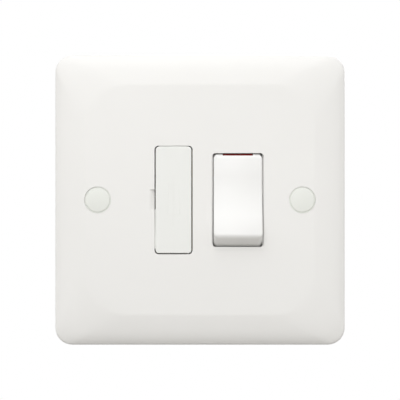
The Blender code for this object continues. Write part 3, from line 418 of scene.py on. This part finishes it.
def newPiece(name, bm, place, slotName, body):
    bmesh.ops.recalc_face_normals(bm, faces=bm.faces)
    mesh = bpy.data.meshes.new(name)
    bm.to_mesh(mesh)
    bm.free()
    mesh.shade_smooth()
    mesh.materials.append(finish[finishOfSlot[slotName]])
    piece = bpy.data.objects.new(name, mesh)
    piece.matrix_world = place
    bpy.context.scene.collection.objects.link(piece)
    creaseEdges(piece, edgeSet["newCrease"])
    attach(piece, body)
    return piece


def middle(name):
    low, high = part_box(name)
    return (low + high) / 2


def headPlace(name, behind=False, deep=0.0):
    # a turned piece's own depth runs in from its head, which is at the front or behind
    low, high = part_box(name)
    centre = middle(name)
    face = high.y if behind else low.y + deep
    turned = Matrix.Rotation(math.radians(90 if behind else -90), 4, "X")
    return Matrix.Translation((centre.x, face, centre.z)) @ turned


def roundAngles(count):
    return [2 * math.pi * i / count for i in range(count)]


def arcAngles(step, first, last):
    return [math.radians(step * i) for i in range(first, last + 1)]


def lathe(bm, profile, count):
    # skin round the depth axis through (radius, depth) points, a radius of 0 closes an end
    rings = []
    for radius, depth in profile:
        angles = roundAngles(count) if radius > 0 else [0.0]
        rings.append([bm.verts.new((radius * math.cos(a), radius * math.sin(a), depth))
                      for a in angles])
    for near, far in zip(rings, rings[1:]):
        for i in range(count):
            corners = (near[i % len(near)], near[(i + 1) % count % len(near)],
                       far[(i + 1) % count % len(far)], far[i % len(far)])
            corners = list(dict.fromkeys(corners))
            if len(corners) > 2:
                bm.faces.new(corners)


def skinRows(bm, rows, closed=True, capped=True):
    # faces from each row of corners to the next; closed joins a row's last corner to its first
    count = len(rows[0])
    for near, far in zip(rows, rows[1:]):
        for i in range(count if closed else count - 1):
            j = (i + 1) % count
            bm.faces.new((near[i], near[j], far[j], far[i]))
    if capped:
        bm.faces.new(rows[0])
        bm.faces.new(rows[-1])


def carve(bm, cutter):
    # take the cutter out of the mesh, both closed
    holders = []
    for shape in (bm, cutter):
        mesh = bpy.data.meshes.new("carving")
        shape.to_mesh(mesh)
        shape.free()
        holders.append(bpy.data.objects.new("carving", mesh))
        bpy.context.scene.collection.objects.link(holders[-1])
    change = holders[0].modifiers.new("carve", "BOOLEAN")
    change.operation = "DIFFERENCE"
    change.object = holders[1]
    graph = bpy.context.evaluated_depsgraph_get()
    mesh = bpy.data.meshes.new_from_object(holders[0].evaluated_get(graph))
    carved = bmesh.new()
    carved.from_mesh(mesh)
    bpy.data.meshes.remove(mesh)
    for holder in holders:
        bpy.data.objects.remove(holder)
    return carved


# Screws: each turned as a hand would leave it, all on the base

# height over the core and place in the pitch, both as shares
ridgeShape = ((-0.05, 0.10), (1.0, 0.44), (1.0, 0.56), (-0.05, 0.90))


def threadRidge(bm, screw, start, end):
    # winds along the core and fades into it over one turn at each end
    perTurn = screw["perTurn"]
    steps = int((end - start) / screw["pitch"] * perTurn)
    rows = []
    for k in range(steps + 1):
        angle = 2 * math.pi * k / perTurn
        fade = min(1.0, k / perTurn, (steps - k) / perTurn)
        row = []
        for height, along in ridgeShape:
            rise = height if height < 0 else height * fade
            radius = screw["core"] + (screw["shank"] - screw["core"]) * rise
            depth = start + screw["pitch"] * (k / perTurn + along - 0.5)
            row.append(bm.verts.new((radius * math.cos(angle), radius * math.sin(angle), depth)))
        rows.append(row)
    skinRows(bm, rows, closed=False, capped=False)


def makeScrews(kind, screw, outlineOf, behind=False):
    width, span, depth = screw["slot"]
    for name, turn in screw["turns"].items():
        node = f"{kind}_screw_{name}"
        low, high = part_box(node)
        length = high.y - low.y
        bm = bmesh.new()
        lathe(bm, outlineOf(screw, length), screw["sides"])
        for quarter in screw["slotTurns"]:
            cutter = bmesh.new()
            slotPlace = (Matrix.Rotation(math.radians(turn + quarter), 4, "Z")
                         @ Matrix.Diagonal((width, span, 2 * depth, 1.0)))
            bmesh.ops.create_cube(cutter, size=1.0, matrix=slotPlace)
            bm = carve(bm, cutter)
        threadRidge(bm, screw, screw["threadStart"], length - screw["threadEnd"])
        piece = newPiece(node + "_threaded", bm, headPlace(node, behind), "plated_steel", "base")
        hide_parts(node)


# In each set crown is (radius, depth) points, slot is width, span and depth, and turns are degrees

fixingScrewSet = {
    "shank": 0.00172, "core": 0.00140, "pitch": 0.0006, "threadStart": 0.0034, "threadEnd": 0.0002,
    "head": 0.0033, "headHeight": 0.0021, "headEdge": 0.00012, "fillet": 0.0001,
    "crown": ((0.0, 0.0), (0.001485, 0.00004), (0.0026, 0.00018), (0.00315, 0.00055),
              (0.0033, 0.0008)),
    "plainEnd": 0.0031, "point": 0.0004, "sides": 40, "perTurn": 20,
    "slot": (0.0008, 0.0099, 0.0010), "slotTurns": (0,),
    "turns": {"left": 12, "right": -27},
}


def fixingOutline(screw, length):
    head, shank, core = screw["head"], screw["shank"], screw["core"]
    under = screw["headHeight"]
    edge, fillet, point = screw["headEdge"], screw["fillet"], screw["point"]
    return [
        *screw["crown"], (head, under - edge), (head - edge, under),
        (shank + fillet, under), (shank, under + fillet),
        (shank, screw["plainEnd"]), (core, screw["threadStart"]),
        (core, length - point), (core - point, length), (0.0, length),
    ]


terminalScrewSet = {
    "shank": 0.0020, "core": 0.00162, "pitch": 0.0007, "threadStart": 0.0013, "threadEnd": 0.0003,
    "crown": ((0.0, 0.0), (0.0011, 0.00003), (0.00165, 0.00011), (0.00192, 0.000308),
              (0.0020, 0.000484)),
    "plainEnd": 0.0010, "point": 0.0005, "sides": 36, "perTurn": 20,
    "slot": (0.0006, 0.0060, 0.0009), "slotTurns": (0,),
    "turns": {"line_in": 14, "neutral_in": -31, "earth_in": 68,
              "line_out": 6, "neutral_out": -12, "earth_out": 41},
}


def terminalOutline(screw, length):
    core, point = screw["core"], screw["point"]
    return [
        *screw["crown"], (screw["shank"], screw["plainEnd"]), (core, screw["threadStart"]),
        (core, length - point), (core - point, length), (0.0, length),
    ]


housingScrewSet = {
    "shank": 0.00128, "core": 0.00088, "pitch": 0.00095, "threadStart": 0.0019, "threadEnd": 0.0006,
    "head": 0.0024, "headHeight": 0.0017, "headEdge": 0.0001,
    "dome": 0.62,           # of the head's height, the rest is its straight rim
    "runOut": 0.0003, "point": 0.0014, "sides": 36, "perTurn": 16,
    "slot": (0.00056, 0.0026, 0.0010), "slotTurns": (0, 90),
    "turns": {"upper_left": 20, "upper_right": -8, "lower_left": 47, "lower_right": 33},
}


def housingOutline(screw, length):
    head, core, edge = screw["head"], screw["core"], screw["headEdge"]
    under = screw["headHeight"]
    dome = [(head * math.sin(a), under * screw["dome"] * (1 - math.cos(a)))
            for a in arcAngles(9, 0, 10)]
    return dome + [
        (head, under - edge), (head - edge, under), (screw["shank"], under),
        (core, under + screw["runOut"]), (core, length - screw["point"]), (0.0, length),
    ]


makeScrews("fixing", fixingScrewSet, fixingOutline)
makeScrews("terminal", terminalScrewSet, terminalOutline, behind=True)
makeScrews("housing", housingScrewSet, housingOutline, behind=True)
print("screws threaded")

# Plunger springs: fine wire with closed ends

springSet = {
    "wire": 0.00038,
    "turns": 7.0,
    "closed": 1.1,          # turns that lie close at each end
    "packing": 1.05,        # their pitch, in wires
    "perTurn": 20,
    "sides": 8,
}


def springRoute(reach, length):
    # the middle of the wire, from the spring's front end to its back end
    closed, turns = springSet["closed"], springSet["turns"]
    wire = springSet["wire"] / 2
    around = reach - wire
    rise = closed * 2 * wire * springSet["packing"]
    route = []
    for k in range(int(turns * springSet["perTurn"]) + 1):
        turn = k / springSet["perTurn"]
        if turn < closed:
            depth = wire + rise * turn / closed
        elif turn > turns - closed:
            depth = length - wire - rise * (turns - turn) / closed
        else:
            share = (turn - closed) / (turns - 2 * closed)
            depth = wire + rise + (length - 2 * wire - 2 * rise) * share
        angle = 2 * math.pi * turn
        route.append(Vector((around * math.cos(angle), around * math.sin(angle), depth)))
    return route


def plungerSpring(pole):
    node = "plunger_spring_" + pole
    joint = next(j for j in frame["joints"] if j["name"] == f"plunger_{pole}_slide")
    travel = -Vector(joint["axis"]).normalized()        # from the rocker's front to the plunger
    points = [nodes[node].matrix_world @ corner.co for corner in nodes[node].data.vertices]
    centre = middle(node)
    depths = [(point - centre).dot(travel) for point in points]
    reach = max(((point - centre) - travel * depth).length for point, depth in zip(points, depths))
    start = min(depths)
    length = max(depths) - start
    route = springRoute(reach, length)
    wire = springSet["wire"] / 2
    bm = bmesh.new()
    rings = []
    for k, point in enumerate(route):
        ahead = (route[min(k + 1, len(route) - 1)] - route[max(k - 1, 0)]).normalized()
        outward = Vector((point.x, point.y, 0.0)).normalized()
        across = ahead.cross(outward)
        rings.append([
            bm.verts.new(point + outward * (wire * math.cos(a)) + across * (wire * math.sin(a)))
            for a in roundAngles(springSet["sides"])
        ])
    skinRows(bm, rings)
    front = centre + travel * start
    turned = Vector((0.0, 0.0, 1.0)).rotation_difference(travel).to_matrix().to_4x4()
    place = Matrix.Translation(front) @ turned
    piece = newPiece(node + "_wound", bm, place, "plated_steel", "rocker")
    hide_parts(node)
    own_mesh(piece)


for pole in ("line", "neutral"):
    plungerSpring(pole)
print("springs wound")

# Cartridge fuse: nickel caps crimped onto the tube

fuseCapSet = {
    "wall": 0.00034, "round": 0.0005, "crimp": 0.0044, "crimpDepth": 0.00014, "crimpHalf": 0.0004,
    "dish": 0.00006, "dishHalfway": 0.00004, "dishEdge": 0.0009,
    "mouth": (0.00008, 0.0001),         # how its edge is taken off, in radius and in length
    "sides": 48,
}


def fuseCap(row, turn):
    cap = fuseCapSet
    low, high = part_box("fuse_cap_" + row)
    radius = (high.x - low.x) / 2
    length = high.z - low.z
    bore = radius - cap["wall"]
    corner = [(radius - cap["round"] * (1 - math.sin(a)), cap["round"] * (1 - math.cos(a)))
              for a in arcAngles(15, 0, 6)]
    crimp = [(radius - cap["crimpDepth"] * math.cos(a) ** 2,
              cap["crimp"] + cap["crimpHalf"] * math.sin(a)) for a in arcAngles(30, -3, 3)]
    bm = bmesh.new()
    lathe(bm, [
        (0.0, cap["dish"]), (radius * 0.5, cap["dishHalfway"]), (radius - cap["dishEdge"], 0.0),
        *corner, *crimp, (radius, length - cap["mouth"][1]), (radius - cap["mouth"][0], length),
        (bore, length), (bore, cap["wall"]), (0.0, cap["wall"]),
    ], cap["sides"])
    centre = middle("fuse_cap_" + row)
    end = high.z if turn else low.z
    place = Matrix.Translation((centre.x, centre.y, end)) @ Matrix.Rotation(turn, 4, "X")
    piece = newPiece(f"fuse_cap_{row}_crimped", bm, place, "nickel_plate", "carrier")
    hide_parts("fuse_cap_" + row)


fuseCap("upper", math.pi)
fuseCap("lower", 0.0)
print("fuse caps crimped")

# Raised marks: the fuse sign on the carrier, the terminals' letters, pin marks behind the plate

markSet = {
    "line": {"sides": 6, "mitre": 0.6, "sunk": 0.15},
    "fuseSign": {"body": (0.0034, 0.0088), "lead": 0.0030, "stroke": 0.00034, "rise": 0.00005},
    "terminals": {"height": 0.0027, "width": 0.0018, "stroke": 0.00050, "rise": 0.00028,
                  "inward": 0.0065, "below": 0.0012},   # below the tops of the wire fins
    "pins": {"radius": 0.0013, "stroke": 0.00022, "rise": 0.00004, "sides": 28,
             "deep": 0.0024,                            # the thickness of the plate's wall
             "places": ((-0.029, 0.024), (0.029, 0.024), (-0.029, -0.024), (0.029, -0.024),
                        (0.0, 0.0312), (0.0, -0.0312))},
}


def raisedLine(bm, points, look, base, out, cyclic=False):
    # a low bead along (x, z) points on the plane y = base, out is -1 to the front and 1 to the back
    line = markSet["line"]
    last = len(points) - 1
    rings = []
    for k, point in enumerate(points):
        before = points[k - 1] if k > 0 or cyclic else point
        after = points[(k + 1) % len(points)] if k < last or cyclic else point
        ahead = (Vector(after) - Vector(before)).normalized()
        into = (Vector(point) - Vector(before)).normalized() if before != point else ahead
        across = Vector((-ahead.y, ahead.x)) * (1.0 / max(line["mitre"], ahead.dot(into)))
        ring = []
        for angle in arcAngles(180 / line["sides"], 0, line["sides"]):
            shift = across * (look["stroke"] / 2 * math.cos(angle))
            rise = look["rise"] * (math.sin(angle) - line["sunk"])
            ring.append(bm.verts.new((point[0] + shift.x, base + out * rise, point[1] + shift.y)))
        rings.append(ring)
    if cyclic:
        rings.append(rings[0])
    skinRows(bm, rings, closed=False, capped=not cyclic)


def fuseSign():
    look = markSet["fuseSign"]
    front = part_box("fuse_carrier")[0].y
    x = middle("fuse_carrier").x
    width, height = (size / 2 for size in look["body"])
    end = height + look["lead"]
    body = [(x - width, -height), (x + width, -height), (x + width, height), (x - width, height)]
    bm = bmesh.new()
    raisedLine(bm, body, look, front, -1, True)
    raisedLine(bm, [(x, -end), (x, end)], look, front, -1)
    newPiece("fuse_sign", bm, Matrix.Identity(4), "carrier_moulding", "carrier")


letterStrokes = {           # (across, up) points of each stroke, from 0 to 1
    "line": [((0, 1), (0, 0), (1, 0))],
    "neutral": [((0, 0), (0, 1), (1, 0), (1, 1))],
    "earth": [((0.5, 1), (0.5, 0.5)), ((0, 0.5), (1, 0.5)),
              ((0.2, 0.25), (0.8, 0.25)), ((0.38, 0), (0.62, 0))],
}


def terminalMarks():
    look = markSet["terminals"]
    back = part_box("rear_housing")[1].y - look["below"]
    bm = bmesh.new()
    for name in terminalScrewSet["turns"]:
        spot = middle("terminal_screw_" + name)
        level = spot.z + (-1 if spot.z > 0 else 1) * look["inward"]
        for stroke in letterStrokes[name.split("_")[0]]:
            points = [(spot.x - (across - 0.5) * look["width"], level + (up - 0.5) * look["height"])
                      for across, up in stroke]
            raisedLine(bm, points, look, back, 1)
    newPiece("terminal_letters", bm, Matrix.Identity(4), "housing_moulding", "base")


def pinMarks():
    look = markSet["pins"]
    bm = bmesh.new()
    for x, z in look["places"]:
        ring = [(x + look["radius"] * math.cos(a), z + look["radius"] * math.sin(a))
                for a in roundAngles(look["sides"])]
        raisedLine(bm, ring, look, frontY + look["deep"], 1, True)
    newPiece("plate_pin_marks", bm, Matrix.Identity(4), "faceplate_moulding", "base")


fuseSign()
terminalMarks()
pinMarks()
print("marks raised")

# Screw caps: the fine bead that holds each one in its bore

beadSet = {"standOut": 0.00019, "inset": 0.00006, "deep": 0.0005, "height": 0.00045,
           "edge": 0.00006, "sides": 64}


def capBead(side):
    node = "screw_cap_" + side
    low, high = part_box(node)
    radius = (high.x - low.x) / 2
    outer = radius + beadSet["standOut"]
    inner = radius - beadSet["inset"]
    height, edge = beadSet["height"], beadSet["edge"]
    bm = bmesh.new()
    lathe(bm, [
        (inner, 0.0), (outer - edge, 0.0), (outer, edge), (outer, height - edge),
        (outer - edge, height), (inner, height), (inner, 0.0),
    ], beadSet["sides"])
    bmesh.ops.remove_doubles(bm, verts=bm.verts, dist=edgeSet["weld"])
    place = headPlace(node, deep=beadSet["deep"])
    newPiece(node + "_bead", bm, place, "cap_moulding", "cap_" + side)


for side in ("left", "right"):
    capBead(side)
print("cap beads on")

# Thin ribs in the gaps of carrier and rocker, where a gap looks narrow and pale


def thinRib(bm, look, stations):
    # skin a rib along its stations: where it stands, the way it reaches and its share of the reach
    rows = []
    for (x, y, z), (outX, outZ), share in stations:
        reach = look["reach"] * share
        nose = min(look["nose"], reach / 2)
        height = look["height"]
        section = ((-look["sunk"], 0.0), (reach - nose, 0.0), (reach, nose), (reach, height - nose),
                   (reach - nose, height), (-look["sunk"], height + look["foot"]))
        rows.append([bm.verts.new((x + outX * away, y + down, z + outZ * away))
                     for away, down in section])
    skinRows(bm, rows)


carrierRibSet = {
    "reach": 0.00027, "sunk": 0.00003, "height": 0.00045, "nose": 0.00005, "foot": 0.0,
    "endShare": 0.1,        # of the reach, at both ends of a rib
    # places along the top and up the left side, each with its depth under the carrier's front
    "top": ((-0.0046, 0.0006), (-0.0042, 0.00036), (0.0042, 0.00036), (0.0046, 0.0006)),
    "side": ((-0.0026, 0.0009), (-0.0032, 0.00070), (-0.0082, 0.00052), (-0.0100, 0.00028),
             (-0.0128, 0.00013), (-0.0142, 0.00020), (-0.0147, 0.0005)),
}


def carrierRibs():
    look = carrierRibSet
    low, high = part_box("fuse_carrier")
    centre = middle("fuse_carrier").x
    top = [((centre + along, low.y + depth, high.z), (0.0, 1.0)) for along, depth in look["top"]]
    side = [((low.x, low.y + depth, along), (-1.0, 0.0)) for along, depth in look["side"]]
    bm = bmesh.new()
    for line in (top, side):
        shares = [look["endShare"], *[1.0] * (len(line) - 2), look["endShare"]]
        thinRib(bm, look, [(*station, share) for station, share in zip(line, shares)])
    newPiece("fuse_carrier_ribs", bm, Matrix.Identity(4), "carrier_moulding", "carrier")


wellLipSet = {
    "opening": (0.0153, 0.0276), "corner": 0.0011, "cornerSteps": 5, "cornerStep": 12,
    "reach": 0.00038, "sunk": 0.0, "height": 0.0006, "nose": 0.0001, "foot": 0.0002,
    "deep": 0.0012,
    "endShare": 0.1,        # of the reach, round the corners where the rocker needs the room
}


def wellLips():
    look = wellLipSet
    centre = middle("rocker_on_flash").x
    corner = look["corner"]
    halfWide, halfTall = (size / 2 - corner for size in look["opening"])
    turns = arcAngles(look["cornerStep"], 0, look["cornerSteps"])
    bm = bmesh.new()
    for side in (-1, 1):
        stations = []
        for end, angle in [(-1, a) for a in reversed(turns)] + [(1, a) for a in turns]:
            out = Vector((side * math.cos(angle), end * math.sin(angle)))
            wall = Vector((centre + side * halfWide, end * halfTall)) + out * corner
            share = max(look["endShare"], 1.0 - (angle / turns[-1]) ** 2)
            stations.append(((wall.x, frontY + look["deep"], wall.y), (-out.x, -out.y), share))
        thinRib(bm, look, stations)
    newPiece("rocker_well_lips", bm, Matrix.Identity(4), "faceplate_moulding", "base")


carrierRibs()
wellLips()
print("carrier ribs and well lips in")
